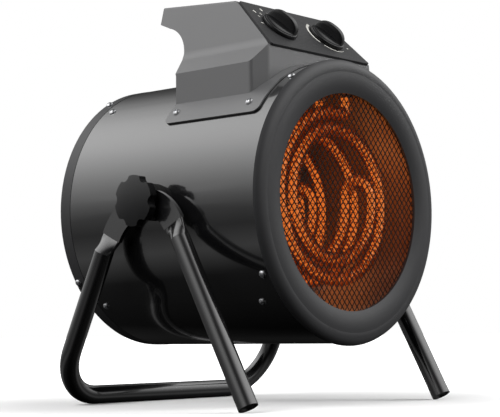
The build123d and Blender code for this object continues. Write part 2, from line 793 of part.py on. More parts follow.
for label, dial in (("selector_switch", dials[0]), ("thermostat", dials[1])):
    with BuildPart() as control:
        with BuildSketch(panel_plane.offset(-panel_thickness)):
            with Locations(dial):
                RectangleRounded(2 * switch_half - 2, 2 * switch_half - 2, 3)
                Circle(3.1, mode=Mode.SUBTRACT)
        extrude(amount=-20)
    finish(control, label)

grip_width = 7.0
for name, dial in (("selector", dials[0]), ("thermostat", dials[1])):
    with BuildPart() as knob:
        with BuildSketch(panel_plane.offset(clearance)):
            with Locations(dial):
                Circle(dial_radius)
        extrude(amount=4.5, taper=4)
        with BuildSketch(panel_plane.offset(clearance + 4.5)):
            with Locations(dial):
                Ellipse(grip_width, dial_radius - 0.6)
        extrude(amount=dial_height - 4.5, taper=14)
        with BuildSketch(panel_plane.offset(clearance)):
            with Locations(dial):
                Circle(3.0)
        extrude(amount=8, mode=Mode.SUBTRACT)
    finish(knob, f"{name}_knob")
    with BuildPart() as shaft:
        with BuildSketch(panel_plane.offset(-panel_thickness - 16)):
            with Locations(dial):
                Circle(3.0)
        extrude(amount=panel_thickness + 16 + clearance + 8)
    finish(shaft, f"{name}_shaft")

terminal_block_top = drum_radius + 18.0
with BuildPart() as terminal_block:
    with BuildSketch(Plane.XY.offset(axis_height + terminal_block_top)):
        with Locations((0, -28)):
            Rectangle(46, 18)
    extrude(amount=-24)
    with BuildSketch(Plane.XY.offset(axis_height + terminal_block_top)):
        with Locations((0, -28)):
            with GridLocations(11, 9, 4, 2):
                Circle(2.4)
    extrude(amount=-5, mode=Mode.SUBTRACT)
    with BuildSketch(along_axis(0)):
        Circle(drum_radius)
    extrude(amount=60, mode=Mode.SUBTRACT)
finish(terminal_block, "terminal_block")

bushing_nose = 6.0
bushing_tail = 6.0
with BuildPart() as cable_bushing:
    with BuildSketch(along_axis(body_rear_y)):
        with Locations(bushing_spot):
            Circle(bushing_neck - 0.05)
    extrude(amount=bushing_tail)
    with BuildSketch(along_axis(body_rear_y)):
        with Locations(bushing_spot):
            Circle(bushing_neck + 1.2)
    extrude(amount=-bushing_nose, taper=6)
    with BuildSketch(along_axis(body_rear_y - wall)):
        with Locations(bushing_spot):
            Circle(bushing_neck + 0.8)
    extrude(amount=bushing_tail - wall, taper=8)
    with BuildSketch(along_axis(body_rear_y + 20)):
        with Locations(bushing_spot):
            Circle(bushing_bore)
    extrude(amount=40, mode=Mode.SUBTRACT)
finish(cable_bushing, "cable_bushing")
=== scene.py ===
import json
from math import ceil, cos, hypot, pi, radians, sin, sqrt

import bpy
from mathutils import Matrix, Vector


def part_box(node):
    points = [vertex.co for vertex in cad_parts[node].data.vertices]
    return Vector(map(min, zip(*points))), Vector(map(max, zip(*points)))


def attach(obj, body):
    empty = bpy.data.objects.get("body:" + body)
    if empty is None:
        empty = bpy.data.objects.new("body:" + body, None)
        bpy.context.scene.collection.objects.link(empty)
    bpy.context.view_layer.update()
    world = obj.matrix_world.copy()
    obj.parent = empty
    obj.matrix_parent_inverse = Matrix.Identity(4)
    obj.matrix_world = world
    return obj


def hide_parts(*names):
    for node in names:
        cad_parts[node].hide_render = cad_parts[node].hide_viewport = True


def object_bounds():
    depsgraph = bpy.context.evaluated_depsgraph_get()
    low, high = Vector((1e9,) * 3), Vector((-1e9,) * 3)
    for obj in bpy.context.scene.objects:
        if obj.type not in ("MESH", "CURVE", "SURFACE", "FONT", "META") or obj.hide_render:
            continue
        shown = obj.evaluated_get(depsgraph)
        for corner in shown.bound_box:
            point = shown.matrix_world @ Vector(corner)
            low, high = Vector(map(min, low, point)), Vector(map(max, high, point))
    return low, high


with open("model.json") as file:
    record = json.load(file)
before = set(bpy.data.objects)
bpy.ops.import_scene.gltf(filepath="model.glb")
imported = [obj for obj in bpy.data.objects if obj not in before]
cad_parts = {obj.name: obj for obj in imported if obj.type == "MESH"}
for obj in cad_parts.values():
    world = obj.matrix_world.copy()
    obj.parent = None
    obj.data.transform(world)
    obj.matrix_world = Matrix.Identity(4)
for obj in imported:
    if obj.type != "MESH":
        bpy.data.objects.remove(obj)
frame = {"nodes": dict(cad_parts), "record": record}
nodes = frame["nodes"]
cad_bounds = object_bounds()
joints = {joint["name"]: joint for joint in frame["record"]["behaviour"]["joints"]}

MM = 0.001

# ---------------------------------------------------------------- places read from the frame
axis_height = joints["drum_tilt"]["pos_m"][2]


# ---------------------------------------------------------------- material helpers
class Shader:
    """Principled material with named sockets and small node chains."""

    def __init__(self, name, color, roughness, metallic=0.0, coat=0.0, coat_roughness=0.05, ior=1.5,
                 specular=0.5):
        self.material = bpy.data.materials.new(name)
        self.material.use_nodes = True
        self.tree = self.material.node_tree
        self.shader = self.tree.nodes["Principled BSDF"]
        self.shader.inputs["Base Color"].default_value = (*color, 1.0)
        self.shader.inputs["Roughness"].default_value = roughness
        self.shader.inputs["Metallic"].default_value = metallic
        self.shader.inputs["Coat Weight"].default_value = coat
        self.shader.inputs["Coat Roughness"].default_value = coat_roughness
        self.shader.inputs["IOR"].default_value = ior
        self.shader.inputs["Specular IOR Level"].default_value = specular
        self.coords = self.tree.nodes.new("ShaderNodeTexCoord").outputs["Object"]
        self.bump_out = None

    def noise(self, scale, detail=3.0, stretch=(1, 1, 1)):
        mapping = self.tree.nodes.new("ShaderNodeMapping")
        mapping.inputs["Scale"].default_value = stretch
        self.tree.links.new(self.coords, mapping.inputs["Vector"])
        texture = self.tree.nodes.new("ShaderNodeTexNoise")
        texture.inputs["Scale"].default_value = scale
        texture.inputs["Detail"].default_value = detail
        self.tree.links.new(mapping.outputs["Vector"], texture.inputs["Vector"])
        return texture.outputs["Fac"]

    def spread(self, value, low, high):
        """Maps the usual spread of a noise value to the range low to high."""
        node = self.tree.nodes.new("ShaderNodeMapRange")
        node.inputs["To Min"].default_value = low
        node.inputs["To Max"].default_value = high
        node.inputs["From Min"].default_value = 0.25
        node.inputs["From Max"].default_value = 0.75
        self.tree.links.new(value, node.inputs["Value"])
        return node.outputs["Result"]

    def roughness(self, value, low, high):
        self.tree.links.new(self.spread(value, low, high), self.shader.inputs["Roughness"])
        return self

    def color(self, value, first, second):
        ramp = self.tree.nodes.new("ShaderNodeValToRGB")
        ramp.color_ramp.elements[0].color = (*first, 1.0)
        ramp.color_ramp.elements[1].color = (*second, 1.0)
        ramp.color_ramp.elements[0].position = 0.3
        ramp.color_ramp.elements[1].position = 0.7
        self.tree.links.new(value, ramp.inputs["Fac"])
        self.tree.links.new(ramp.outputs["Color"], self.shader.inputs["Base Color"])
        return self

    def bump(self, height, strength, distance):
        node = self.tree.nodes.new("ShaderNodeBump")
        node.inputs["Strength"].default_value = strength
        node.inputs["Distance"].default_value = distance
        self.tree.links.new(height, node.inputs["Height"])
        if self.bump_out is not None:
            self.tree.links.new(self.bump_out, node.inputs["Normal"])
        self.bump_out = node.outputs["Normal"]
        self.tree.links.new(self.bump_out, self.shader.inputs["Normal"])
        return self


def gloss_enamel():
    shader = Shader("drum_gloss", (0.006, 0.006, 0.0065), 0.16, coat=1.0, coat_roughness=0.03, ior=1.8,
                    specular=0.5)
    shader.shader.inputs["Coat IOR"].default_value = 1.8
    shader.roughness(shader.noise(9.0), 0.13, 0.2)
    shader.bump(shader.noise(26.0, 2.0), 0.05, 0.0006)
    shader.bump(shader.noise(900.0, 2.0), 0.03, 0.00005)
    return shader.material


def satin_coat(name, color, roughness, ior=1.5):
    shader = Shader(name, color, roughness, ior=ior)
    shader.roughness(shader.noise(14.0), roughness - 0.04, roughness + 0.05)
    shader.bump(shader.noise(1600.0, 2.0), 0.12, 0.00008)
    shader.bump(shader.noise(18.0, 2.0), 0.04, 0.0008)
    return shader.material


def panel_coat():
    shader = Shader("panel_black", (0.022, 0.022, 0.023), 0.5, specular=0.35)
    shader.roughness(shader.noise(700.0), 0.44, 0.6)
    shader.bump(shader.noise(1100.0, 3.0), 0.35, 0.00012)
    return shader.material


def tube_coat():
    shader = Shader("tube_gloss", (0.008, 0.008, 0.0085), 0.2, coat=1.0, coat_roughness=0.06, ior=1.7)
    shader.shader.inputs["Coat IOR"].default_value = 1.7
    shader.roughness(shader.noise(16.0), 0.16, 0.26)
    shader.bump(shader.noise(700.0, 2.0), 0.05, 0.00006)
    return shader.material


def bright_zinc(name, low=0.14, high=0.3):
    shader = Shader(name, (0.82, 0.83, 0.85), 0.2, metallic=1.0)
    shader.roughness(shader.noise(500.0), low, high)
    shader.color(shader.noise(260.0), (0.72, 0.73, 0.76), (0.9, 0.9, 0.91))
    shader.bump(shader.noise(1500.0, 2.0), 0.05, 0.00005)
    return shader.material


def moulded(name, color, roughness):
    shader = Shader(name, color, roughness)
    shader.roughness(shader.noise(60.0), roughness - 0.05, roughness + 0.07)
    shader.bump(shader.noise(2200.0, 2.0), 0.12, 0.00005)
    return shader.material


def hot_sheet():
    shader = Shader("duct_steel", (0.33, 0.24, 0.19), 0.42, metallic=0.75)
    shader.color(shader.noise(20.0), (0.30, 0.19, 0.13), (0.42, 0.34, 0.29))
    shader.roughness(shader.noise(80.0, 4.0, (1, 8, 1)), 0.34, 0.55)
    shader.bump(shader.noise(240.0, 3.0, (1, 6, 1)), 0.08, 0.0002)
    return shader.material


def metal(name, first, second, low, high):
    shader = Shader(name, first, low, metallic=1.0)
    shader.color(shader.noise(120.0), first, second)
    shader.roughness(shader.noise(300.0), low, high)
    shader.bump(shader.noise(900.0), 0.08, 0.00006)
    return shader.material


def ceramic():
    shader = Shader("ceramic_ferrule", (0.8, 0.77, 0.7), 0.3)
    shader.color(shader.noise(70.0), (0.74, 0.69, 0.6), (0.86, 0.84, 0.79))
    shader.bump(shader.noise(400.0), 0.08, 0.0001)
    return shader.material


def glowing_sheath(name, strength, dark, bright):
    """Red hot metal, brighter where the stored heat is higher and mottled along its length."""
    shader = Shader(name, (0.45, 0.24, 0.13), 0.32, metallic=0.9)
    heat = shader.tree.nodes.new("ShaderNodeAttribute")
    heat.attribute_name = "heat"
    mottled = shader.tree.nodes.new("ShaderNodeMath")
    mottled.operation = "MULTIPLY"
    shader.tree.links.new(heat.outputs["Fac"], mottled.inputs[0])
    shader.tree.links.new(shader.spread(shader.noise(110.0, 4.0), 0.45, 1.25), mottled.inputs[1])
    ramp = shader.tree.nodes.new("ShaderNodeValToRGB")
    ramp.color_ramp.elements[0].color = (*dark, 1.0)
    ramp.color_ramp.elements[1].color = (*bright, 1.0)
    middle = ramp.color_ramp.elements.new(0.6)
    middle.color = tuple((a + b) / 2 for a, b in zip(dark, bright)) + (1.0,)
    shader.tree.links.new(mottled.outputs["Value"], ramp.inputs["Fac"])
    shader.tree.links.new(ramp.outputs["Color"], shader.shader.inputs["Emission Color"])
    shader.shader.inputs["Emission Strength"].default_value = strength
    shader.bump(shader.noise(500.0), 0.2, 0.0002)
    return shader.material


finishes = {
    "drum_gloss": gloss_enamel(),
    "bezel_satin": satin_coat("bezel_satin", (0.034, 0.034, 0.0355), 0.38),
    "grille_black": satin_coat("grille_black", (0.012, 0.012, 0.012), 0.42),
    "zinc_screw": bright_zinc("zinc_screw"),
    "duct_steel": hot_sheet(),
    "motor_steel": metal("motor_steel", (0.16, 0.15, 0.15), (0.24, 0.23, 0.23), 0.4, 0.6),
    "copper_winding": metal("copper_winding", (0.6, 0.25, 0.09), (0.72, 0.34, 0.14), 0.3, 0.45),
    "bearing_bronze": metal("bearing_bronze", (0.5, 0.36, 0.16), (0.6, 0.46, 0.22), 0.35, 0.5),
    "element_sheath": glowing_sheath("element_sheath", 1.5, (0.4, 0.09, 0.012), (1.0, 0.56, 0.2)),
    "ceramic_ferrule": ceramic(),
    "plastic_black": moulded("plastic_black", (0.009, 0.009, 0.0095), 0.2),
    "plastic_white": moulded("plastic_white", (0.7, 0.69, 0.64), 0.4),
    "housing_satin": satin_coat("housing_satin", (0.1, 0.1, 0.102), 0.36, ior=1.9),
    "panel_black": panel_coat(),
    "rubber_black": moulded("rubber_black", (0.012, 0.012, 0.012), 0.7),
    "zinc_steel": metal("zinc_steel", (0.62, 0.62, 0.64), (0.74, 0.74, 0.76), 0.22, 0.38),
    "tube_gloss": tube_coat(),
    "fan_aluminium": metal("fan_aluminium", (0.5, 0.48, 0.46), (0.62, 0.6, 0.58), 0.3, 0.45),
}

for part in frame["record"]["subparts"]:
    node = nodes[part["node"]]
    for holder in node.material_slots:
        holder.material = finishes[part["material_slot"]]


# ---------------------------------------------------------------- softened edges on the CAD nodes
edge_widths = {
    "control_housing": 0.5, "control_panel": 0.35, "star_knob_left": 0.5, "star_knob_right": 0.5,
    "front_leg_left": 0.4, "front_leg_right": 0.4, "rear_frame": 0.4, "drum_casing": 0.25, "rear_ring": 0.3,
    "pivot_pad_left": 0.4, "pivot_pad_right": 0.4, "pivot_washer_left": 0.3, "pivot_washer_right": 0.3,
    "leg_plug_left": 0.3, "leg_plug_right": 0.3, "front_bezel": 0.3, "terminal_block": 0.5,
}
for name, width in edge_widths.items():
    bevel = nodes[name].modifiers.new("edges", "BEVEL")
    bevel.width = width * MM
    bevel.segments = 2
    bevel.limit_method = "ANGLE"
    bevel.angle_limit = radians(38)
    bevel.harden_normals = False


# ---------------------------------------------------------------- mesh helper
def piece(name, vertices, faces, slot, body, heat=None, smooth=True, finish=None):
    """A new mesh that rides on a CAD body and takes one of the record's finishes."""
    mesh = bpy.data.meshes.new(name)
    mesh.from_pydata([tuple(v) for v in vertices], [], faces)
    mesh.validate()
    mesh.update()
    if heat is not None:
        layer = mesh.attributes.new("heat", "FLOAT", "POINT")
        layer.data.foreach_set("value", heat)
    if smooth:
        mesh.polygons.foreach_set("use_smooth", [True] * len(mesh.polygons))
        mesh.set_sharp_from_angle(angle=radians(40))
    item = bpy.data.objects.new(name, mesh)
    bpy.context.scene.collection.objects.link(item)
    item.data.materials.append(finish or finishes[slot])
    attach(item, body)
    return item


# ---------------------------------------------------------------- expanded metal grilles
cell_width = 6.5 * MM
cell_height = 7.4 * MM
strand_width = 0.78 * MM
strand_depth = 0.55 * MM
strand_lean = radians(24)
strand_stations = ((0.0, 1.25), (0.18, 0.9), (0.82, 0.9), (1.0, 1.25))
clip_halvings = 12
rim_width = 14.0 * MM
rim_steps = 144
sheet = 1.2 * MM
mesh_inset = 1.5 * MM
edge_inset = 0.3 * MM


def expanded_metal(name, radius, y):
    """Diamond mesh: each strand is a narrow leaning strip that widens into its two knuckles."""
    vertices = []
    faces = []
    columns = ceil(radius / cell_width) + 1
    rows = ceil(radius / cell_height) + 1

    def strip(start, end):
        direction = end - start
        length = direction.length
        if length < strand_width:
            return
        direction.normalize()
        flat = Vector((-direction.z, 0, direction.x))
        lean = -strand_lean if direction.x * direction.z > 0 else strand_lean
        across = flat * cos(lean) + Vector((0, 1, 0)) * sin(lean)
        through = flat * -sin(lean) + Vector((0, 1, 0)) * cos(lean)
        base = len(vertices)
        for station, scale in strand_stations:
            middle = start + direction * length * station
            for side, face in ((-1, -1), (1, -1), (1, 1), (-1, 1)):
                vertices.append(middle + across * side * strand_width / 2 * scale
                                + through * face * strand_depth / 2)
        for ring in range(3):
            a = base + 4 * ring
            for k in range(4):
                faces.append((a + k, a + (k + 1) % 4, a + 4 + (k + 1) % 4, a + 4 + k))
        faces.append((base + 3, base + 2, base + 1, base))
        faces.append((base + 12, base + 13, base + 14, base + 15))

    def inside(point):
        return hypot(point.x, point.z - axis_height) <= radius

    def clipped(start, end):
        """The part of a strand inside the rim."""
        if inside(start) and inside(end):
            return start, end
        if not inside(start) and not inside(end):
            return None
        keep, lose = (start, end) if inside(start) else (end, start)
        for _ in range(clip_halvings):
            middle = (keep + lose) / 2
            if inside(middle):
                keep = middle
            else:
                lose = middle
        return (start, keep) if inside(start) else (keep, end)

    for column in range(-2 * columns, 2 * columns + 1):
        for row in range(-2 * rows, 2 * rows + 1):
            if (column + row) % 2:
                continue
            here = Vector((column * cell_width / 2, y, axis_height + row * cell_height / 2))
            for step in (-1, 1):
                there = here + Vector((step * cell_width / 2, 0, cell_height / 2))
                ends = clipped(here, there)
                if ends:
                    strip(*ends)
    return piece(name, vertices, faces, "grille_black", "drum", smooth=False)


def rim_ring(name, profile):
    """Closed ring turned about the drum's axis from (radius, y) corners."""
    vertices = []
    faces = []
    count = len(profile)
    for step in range(rim_steps):
        turn = 2 * pi * step / rim_steps
        for radius, y in profile:
            vertices.append((radius * cos(turn), y, axis_height + radius * sin(turn)))
    for step in range(rim_steps):
        following = (step + 1) % rim_steps
        for k in range(count):
            faces.append((step * count + k, step * count + (k + 1) % count,
                          following * count + (k + 1) % count, following * count + k))
    piece(name, vertices, faces, "grille_black", "drum")


def guard(name, node, inward):
    """Mesh with a folded rim in place of a CAD grille; inward is the sign of y towards the drum."""
    lo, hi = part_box(node)
    radius = (hi[0] - lo[0]) / 2
    outer, inner = (lo[1], hi[1]) if inward > 0 else (hi[1], lo[1])
    mesh = expanded_metal(name, radius - mesh_inset, outer + inward * sheet / 2)
    rim_ring(name + "_rim", [
        (radius - rim_width, outer + inward * sheet), (radius - edge_inset, outer + inward * sheet * 0.2),
        (radius, outer + inward * sheet), (radius, inner),
        (radius - sheet, inner), (radius - sheet, outer + inward * 2 * sheet),
        (radius - rim_width, outer + inward * 2 * sheet)])
    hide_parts(node)


guard("front_mesh", "front_grille", 1)
guard("rear_mesh", "rear_grille", -1)

# ---------------------------------------------------------------- finned heating elements
# The glow is hottest along the sheath; the crimped fins wound on it are darker and catch its light.
coil_crossings = [75.0 * MM, -62.5 * MM, 61.5 * MM, -47.0 * MM]
coil_end_radius = 49.0 * MM
coil_end_angle = radians(8)
terminal_x = 15.0 * MM
terminal_bend = 5.0 * MM
cad_rod_radius = 3.6 * MM
tube_radius = 3.3 * MM
tube_sides = 16
hairpin_steps = 24
plain_run = 12.0 * MM
fin_reach = 6.2 * MM
fin_pitch = 4.6 * MM
fin_thickness = 0.36 * MM
fin_points = 24
crimp_depth = 0.85 * MM
rearward = Vector((0, 1, 0))
fin_finish = glowing_sheath("element_fins", 0.32, (0.02, 0.003, 0.001), (0.7, 0.22, 0.05))


def arc_points(centre, radius, first, last, y, count):
    return [Vector((centre[0] + radius * cos(first + (last - first) * k / count), y,
                    axis_height + centre[1] + radius * sin(first + (last - first) * k / count)))
            for k in range(count)]


def coil_layer(y, top):
    """Points of one flat layer of a coil, from its terminal to its inner end."""
    first = coil_crossings[0]
    bend_top = axis_height + first + 2.0 * terminal_bend
    bend_centre = (terminal_x - terminal_bend, first + terminal_bend)
    points = [Vector((terminal_x, y, top)), Vector((terminal_x, y, bend_top))]
    points += arc_points(bend_centre, terminal_bend, 0, -pi / 2, y, 10)
    side = 1
    for start, end in zip(coil_crossings, coil_crossings[1:]):
        points += arc_points((0, (start + end) / 2), abs(start - end) / 2, side * pi / 2,
                             side * pi / 2 + pi, y, 90)
        side = -side
    last = coil_crossings[-1]
    points += arc_points((0, last + coil_end_radius), coil_end_radius, -pi / 2, coil_end_angle, y, 50)
    return points


def coil_route(node):
    """Both layers of a coil and the hairpin between them."""
    lo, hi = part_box(node)
    front = lo[1] + cad_rod_radius
    rear = hi[1] - cad_rod_radius
    points = coil_layer(front, hi[2])
    reach = (rear - front) / 2
    centre_z = axis_height + coil_crossings[-1] + coil_end_radius
    base = Vector((coil_end_radius * cos(coil_end_angle), front + reach,
                   centre_z + coil_end_radius * sin(coil_end_angle)))
    heading = Vector((-sin(coil_end_angle), 0, cos(coil_end_angle)))
    for k in range(hairpin_steps + 1):
        turn = pi * k / hairpin_steps
        points.append(base - rearward * reach * cos(turn) + heading * reach * sin(turn))
    return points + coil_layer(rear, hi[2])[::-1]


def along(points, spacing):
    """Evenly spaced (point, direction) pairs along a run of points."""
    stations = []
    travelled = 0.0
    following = spacing
    for a, b in zip(points, points[1:]):
        length = (b - a).length
        while following <= travelled + length:
            share = (following - travelled) / length
            stations.append((a.lerp(b, share), (b - a).normalized()))
            following += spacing
        travelled += length
    return stations


def sheath_tube(name, route):
    """Round rod along the whole route, a little warmer and cooler along its length."""
    vertices = []
    faces = []
    heat = []
    across = rearward
    for k, point in enumerate(route):
        direction = (route[min(k + 1, len(route) - 1)] - route[max(k - 1, 0)]).normalized()
        across = (across - direction * across.dot(direction)).normalized()
        other = direction.cross(across)
        warmth = 0.8 + 0.12 * sin(k * 0.37) * sin(k * 0.11)
        for j in range(tube_sides):
            turn = 2 * pi * j / tube_sides
            vertices.append(point + (across * cos(turn) + other * sin(turn)) * tube_radius)
            heat.append(warmth)
    for ring in range(len(route) - 1):
        a = ring * tube_sides
        b = a + tube_sides
        for j in range(tube_sides):
            following = (j + 1) % tube_sides
            faces.append((a + j, b + j, b + following, a + following))
    faces.append(tuple(range(tube_sides)))
    faces.append(tuple(range(len(route) * tube_sides - 1, (len(route) - 1) * tube_sides - 1, -1)))
    return piece(name, vertices, faces, "element_sheath", "drum", heat)


def crimped_fins(name, route):
    """Separate wavy fins on the rod, cooler towards their edges, none near the rod's two ends."""
    vertices = []
    faces = []
    heat = []
    across = rearward
    plain_end = int(plain_run / fin_pitch)
    stations = along(route, fin_pitch)[plain_end:-plain_end]
    for number, (point, direction) in enumerate(stations):
        across = (across - direction * across.dot(direction)).normalized()
        other = direction.cross(across)
        base = len(vertices)
        rings = ((tube_radius * 0.95, -1, 0.62), (tube_radius * 1.35, -1, 0.36), (fin_reach, -1, 0.3),
                 (fin_reach, 1, 0.3), (tube_radius * 1.35, 1, 0.36), (tube_radius * 0.95, 1, 0.62))
        for ring_radius, side, warmth in rings:
            rise = (ring_radius - tube_radius) / (fin_reach - tube_radius)
            for j in range(fin_points):
                turn = 2 * pi * j / fin_points
                crimp = crimp_depth * max(rise, 0) * sin(6 * turn + 1.9 * number)
                ragged = 1 + 0.05 * rise * sin(5 * turn + 2.3 * number)
                vertices.append(point + (across * cos(turn) + other * sin(turn)) * ring_radius * ragged
                                + direction * (side * fin_thickness / 2 + crimp))
                heat.append(warmth + 0.08 * rise * sin(3 * turn + number))
        count = len(rings)
        for ring in range(count):
            upper = ((ring + 1) % count) * fin_points
            for j in range(fin_points):
                following = (j + 1) % fin_points
                faces.append((base + ring * fin_points + j, base + ring * fin_points + following,
                              base + upper + following, base + upper + j))
    piece(name, vertices, faces, "element_sheath", "drum", heat, finish=fin_finish)


def finned_element(name, node):
    route = coil_route(node)
    sheath = sheath_tube(name, route)
    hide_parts(node)
    crimped_fins(name + "_fins", route)


finned_element("finned_element_front", "heating_element_front")
finned_element("finned_element_rear", "heating_element_rear")

# ---------------------------------------------------------------- marks printed on the panel
selector = joints["selector_turn"]
heat_dial = joints["heat_dial_turn"]
panel_normal = Vector(selector["axis"]).normalized()
if panel_normal.z < 0:
    panel_normal.negate()
panel_across = Vector((1, 0, 0))
panel_up = panel_normal.cross(panel_across)
panel_height = max(vertex.co.dot(panel_normal) for vertex in nodes["control_panel"].data.vertices)
ink_thickness = 0.12 * MM
dot_points = 16
band_steps = 48
tick_start = 18.6 * MM
symbol_start = 23.2 * MM
band_start = 18.4 * MM


def on_panel(centre, u, v, lift):
    """Point of the panel's face at (u, v) from a dial's centre."""
    point = Vector(centre) + panel_across * u + panel_up * v
    return point + panel_normal * (panel_height + lift - point.dot(panel_normal))


def printed(name, centre, outline):
    """Thin raised print from closed outlines of (u, v) corners in metres."""
    vertices = []
    faces = []
    for corners in outline:
        base = len(vertices)
        count = len(corners)
        area = sum(a[0] * b[1] - b[0] * a[1] for a, b in zip(corners, corners[1:] + corners[:1]))
        if area < 0:
            corners = corners[::-1]
        for lift in (-ink_thickness / 2, ink_thickness):
            for u, v in corners:
                vertices.append(on_panel(centre, u, v, lift))
        faces.append(tuple(range(base + count, base + 2 * count)))
        faces.append(tuple(reversed(range(base, base + count))))
        for k in range(count):
            following = (k + 1) % count
            faces.append((base + k, base + following, base + count + following, base + count + k))
    return piece(name, vertices, faces, "plastic_white", "drum", smooth=False)


def dot(u, v, radius):
    turns = [2 * pi * k / dot_points for k in range(dot_points)]
    return [(u + radius * cos(turn), v + radius * sin(turn)) for turn in turns]


def tick(angle, inner, outer, width):
    """Short radial bar about the dial's centre."""
    turn = radians(angle)
    run = Vector((cos(turn), sin(turn)))
    side = Vector((-sin(turn), cos(turn))) * width / 2
    corners = (run * inner - side, run * outer - side, run * outer + side, run * inner + side)
    return [tuple(corner) for corner in corners]


def wedge_arc(first, last, thin, thick):
    """Arc band that widens from its first angle to its last."""
    outer_run = []
    inner_run = []
    for k in range(band_steps + 1):
        share = k / band_steps
        turn = radians(first + (last - first) * share)
        outer = band_start + thin + (thick - thin) * share
        inner_run.append((band_start * cos(turn), band_start * sin(turn)))
        outer_run.append((outer * cos(turn), outer * sin(turn)))
    return outer_run + inner_run[::-1]


selector_marks = [tick(angle, tick_start, tick_start + 2.4 * MM, 1.1 * MM) for angle in (86, 118, 141, 174)]
selector_marks += [tick(angle, symbol_start, symbol_start + 3.2 * MM, 1.6 * MM) for angle in (97, 130)]
printed("selector_marks", selector["pos_m"], selector_marks)
heat_scale = [wedge_arc(297, 222, 0.4 * MM, 1.1 * MM), wedge_arc(209, 118, 1.2 * MM, 2.6 * MM),
              dot(20 * MM, -10 * MM, 0.8 * MM)]
printed("heat_scale", heat_dial["pos_m"], heat_scale)

# ---------------------------------------------------------------- dials
knob_columns = 120
knob_rows = 64
knob_point = radians(112)
skirt = 3.4 * MM
plate = 6.0 * MM
wing_half = 2.9 * MM
wing_fall = 1.5 * MM
wing_crown = 12.0
wing_arch = 2.6
rim_gap = 0.05 * MM
rim_edge = 1.3 * MM


def dial(name, node, joint, body):
    """Round knob with an arched grip wing across its middle, flat sided and standing on a low plate."""
    centre = Vector(joint["pos_m"])
    heights = [vertex.co.dot(panel_normal) for vertex in nodes[node].data.vertices]
    low = min(heights) - panel_height
    high = max(heights) - panel_height
    lo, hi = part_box(node)
    rim = (hi[0] - lo[0]) / 2 - rim_gap
    grip = rim - rim_edge

    def height(s, t):
        """Top of the knob s along the wing and t across it."""
        share = min(1.0, hypot(s, t) / grip)
        flat = skirt + (plate - skirt) * sqrt(1 - share ** 2)
        arch = skirt + (high - skirt) * sqrt(1 - share ** wing_arch) - wing_crown * t * t
        fall = min(1.0, max(0.0, (abs(t) - wing_half) / wing_fall))
        fall = fall * fall * (3 - 2 * fall)
        return max(flat, arch + (flat - arch) * fall)

    def place(s, t, lift):
        return on_panel(centre, s * cos(knob_point) - t * sin(knob_point),
                        s * sin(knob_point) + t * cos(knob_point), lift)

    vertices = []
    faces = []
    for j in range(knob_columns + 1):
        t = grip * sin(pi * (j / knob_columns - 0.5))
        reach = sqrt(max(0.0, grip * grip - t * t))
        for k in range(knob_rows + 1):
            s = reach * sin(pi * (k / knob_rows - 0.5))
            vertices.append(place(s, t, height(s, t)))
    across = knob_rows + 1
    for j in range(knob_columns):
        for k in range(knob_rows):
            faces.append((j * across + k, j * across + k + 1, (j + 1) * across + k + 1, (j + 1) * across + k))
    loop = [j * across for j in range(1, knob_columns)]
    loop += [knob_columns * across + k for k in range(knob_rows + 1)]
    loop += [j * across + knob_rows for j in range(knob_columns - 1, 0, -1)]
    loop += list(range(knob_rows, -1, -1))
    spokes = []
    for index in loop:
        j, k = divmod(index, across)
        turn = pi * (j / knob_columns - 0.5)
        half = 1 if k > knob_rows / 2 else -1
        spokes.append((half * cos(turn), sin(turn)))
    inner = loop
    for radius, lift in ((rim - 0.6 * MM, skirt - 0.25 * MM), (rim - 0.15 * MM, skirt - 0.8 * MM),
                         (rim, skirt - 1.4 * MM), (rim, low + 0.3 * MM), (rim - 0.3 * MM, low)):
        outer = list(range(len(vertices), len(vertices) + len(loop)))
        for s, t in spokes:
            vertices.append(place(radius * s, radius * t, lift))
        for k in range(len(loop)):
            following = (k + 1) % len(loop)
            faces.append((inner[k], outer[k], outer[following], inner[following]))
        inner = outer
    faces.append(tuple(reversed(inner)))
    knob = piece(name, vertices, faces, "plastic_black", body)
    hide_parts(node)


dial("selector_dial", "selector_knob", selector, "selector")
dial("heat_dial_cap", "thermostat_knob", heat_dial, "heat_dial")

# ---------------------------------------------------------------- studio floor
floor_size = 60.0
# Painted shade round the object: the floor's emission is lowest within the near distance and reaches plain
# white at the far distance.
painted_shade_near = 0.16
painted_shade_far = 0.5


def pale_floor():
    """Takes soft shadows round the object and has a painted shade: its emission is dimmer near the object and
    rises to plain white away from it.
    """
    shader = Shader("studio_floor", (0.9, 0.9, 0.9), 0.7, specular=0.1)
    tree = shader.tree
    distance = tree.nodes.new("ShaderNodeVectorMath")
    distance.operation = "LENGTH"
    tree.links.new(shader.coords, distance.inputs[0])
    # Painted shade: emission is low close to the object and rises to plain white further off.
    painted_shade_fade = tree.nodes.new("ShaderNodeMapRange")
    painted_shade_fade.interpolation_type = "SMOOTHSTEP"
    painted_shade_fade.inputs["From Min"].default_value = painted_shade_near
    painted_shade_fade.inputs["From Max"].default_value = painted_shade_far
    painted_shade_fade.inputs["To Min"].default_value = 0.06
    painted_shade_fade.inputs["To Max"].default_value = 0.9
    tree.links.new(distance.outputs["Value"], painted_shade_fade.inputs["Value"])
    shader.shader.inputs["Emission Color"].default_value = (1.0, 1.0, 1.0, 1.0)
    tree.links.new(painted_shade_fade.outputs["Result"], shader.shader.inputs["Emission Strength"])
    return shader.material


bpy.ops.mesh.primitive_plane_add(size=floor_size, location=(0, 0, cad_bounds[0][2]))
floor = bpy.context.object
floor.name = "studio_floor"
floor.data.materials.append(pale_floor())
floor.visible_glossy = False
floor.visible_diffuse = False


# ---------------------------------------------------------------- studio surroundings
# Two broad soft sides of light, dark ahead, behind and below; the camera itself sees plain white.
side_of_light = (0.665, -0.747, 0.0)
sky_levels = ((-1.0, 0.008), (-0.62, 0.012), (-0.42, 0.1), (-0.2, 0.045), (-0.05, 0.08), (0.1, 0.18),
              (0.35, 0.45), (0.6, 0.78), (0.85, 1.0), (1.0, 0.9))
dark_side = 0.12
bright_side = 2.0


